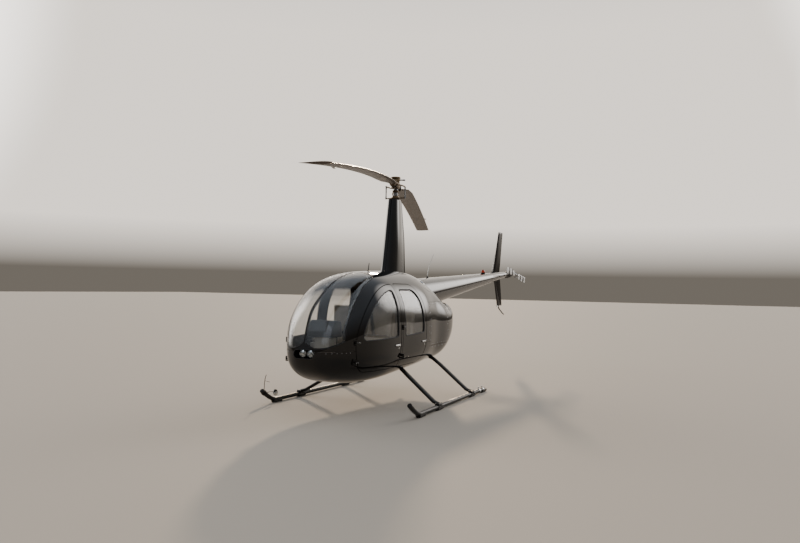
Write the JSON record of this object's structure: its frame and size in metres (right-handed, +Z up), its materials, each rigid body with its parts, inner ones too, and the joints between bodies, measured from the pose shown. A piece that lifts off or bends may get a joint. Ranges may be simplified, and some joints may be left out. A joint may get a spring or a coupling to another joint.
{
  "type": "light helicopter",
  "caption": "Light utility helicopter on skids, with a two-blade teetering rotor on a tall faired mast, hinged cabin doors, a slim tail cone and a side-mounted tail rotor.",
  "frame": {"origin": "on the ground under the middle of the whole machine's box, with the rotor parked as in the picture", "axes": "+X forward towards the nose, +Y to port, +Z up"},
  "size_m": [11.4328, 3.5262, 3.277],
  "materials": {
    "body_paint": "gloss black polyurethane paint over thin sheet and moulded skins",
    "skid_enamel": "satin black enamel on aluminium tube",
    "black_trim": "black moulded trim",
    "lamp": "sealed beam lamp, clear lens over a bright bowl",
    "carpet": "short dark grey carpet",
    "grey_trim": "grey painted sheet",
    "cast_metal": "cast aluminium, dull",
    "blade_paint": "matt dark paint on bonded metal blades",
    "tail_blade_paint": "light and dark painted bands",
    "steel": "machined steel",
    "red_lens": "red moulded lens",
    "seat_leather": "dark grey leather",
    "window_glass": "thin clear acrylic"
  },
  "bodies": {
    "fuselage": {"skid_port": "skid_enamel", "skid_starboard": "skid_enamel", "cross_tube_front": "skid_enamel", "cross_tube_rear": "skid_enamel", "cabin_frame": "body_paint", "nose_and_belly": "body_paint", "belly_cowl": "body_paint", "upper_cowl": "body_paint", "stern_cowl": "body_paint", "side_cowl_port": "body_paint", "side_cowl_starboard": "body_paint", "lamp_cup": "black_trim", "landing_lamp_port": "lamp", "landing_lamp_starboard": "lamp", "cabin_floor": "carpet", "firewall": "grey_trim", "engine_block": "cast_metal", "mast_fairing": "body_paint", "swashplate": "cast_metal", "tail_cone": "body_paint", "tail_gearbox": "cast_metal", "upper_fin": "body_paint", "lower_fin": "body_paint", "fin_root": "body_paint", "stabiliser": "body_paint", "beacon": "red_lens", "seat_base_front": "grey_trim", "seat_base_rear": "grey_trim", "instrument_console": "grey_trim", "cyclic_stick": "black_trim", "toe_mirror": "steel", "exhaust_pipe": "steel", "intake_shroud": "grey_trim", "aerial_front": "black_trim", "aerial_rear": "black_trim", "windscreen_port": "window_glass", "seat_cushion_front_port": "seat_leather", "seat_back_front_port": "seat_leather", "seat_cushion_rear_port": "seat_leather", "seat_back_rear_port": "seat_leather", "windscreen_starboard": "window_glass", "seat_cushion_front_starboard": "seat_leather", "seat_back_front_starboard": "seat_leather", "seat_cushion_rear_starboard": "seat_leather", "seat_back_rear_starboard": "seat_leather"},
    "main_rotor": {"rotor_hub": "cast_metal", "rotor_blade_near": "blade_paint", "rotor_blade_far": "blade_paint"},
    "tail_rotor": {"tail_rotor_hub": "steel", "tail_blade_fore": "tail_blade_paint", "tail_blade_aft": "tail_blade_paint"},
    "door_front_port": {"door_front_port": "body_paint", "window_front_port": "window_glass"},
    "door_rear_port": {"door_rear_port": "body_paint", "window_rear_port": "window_glass"},
    "door_front_starboard": {"door_front_starboard": "body_paint", "window_front_starboard": "window_glass"},
    "door_rear_starboard": {"door_rear_starboard": "body_paint", "window_rear_starboard": "window_glass"}
  },
  "joints": [
    {"name": "main_rotor_spin", "type": "hinge", "parent": "fuselage", "child": "main_rotor", "pos_m": [0.91418, 0, 3.1], "axis": [0, 0, 1], "continuous": true},
    {"name": "tail_rotor_spin", "type": "hinge", "parent": "fuselage", "child": "tail_rotor", "pos_m": [-4.97882, 0.215, 1.94], "axis": [0, 1, 0], "continuous": true},
    {"name": "door_front_port_hinge", "type": "hinge", "parent": "fuselage", "child": "door_front_port", "pos_m": [2.94418, 0.505, 0.9], "axis": [0, 0, -1], "range_deg": [0, 75]},
    {"name": "door_front_starboard_hinge", "type": "hinge", "parent": "fuselage", "child": "door_front_starboard", "pos_m": [2.94418, -0.505, 0.9], "axis": [0, 0, 1], "range_deg": [0, 75]},
    {"name": "door_rear_port_hinge", "type": "hinge", "parent": "fuselage", "child": "door_rear_port", "pos_m": [1.92018, 0.652, 0.9], "axis": [0, 0, -1], "range_deg": [0, 75]},
    {"name": "door_rear_starboard_hinge", "type": "hinge", "parent": "fuselage", "child": "door_rear_starboard", "pos_m": [1.92018, -0.652, 0.9], "axis": [0, 0, 1], "range_deg": [0, 75]}
  ],
  "couplings": [
    {"joint": "tail_rotor_spin", "follows": "main_rotor_spin", "ratio": 5.95}
  ]
}
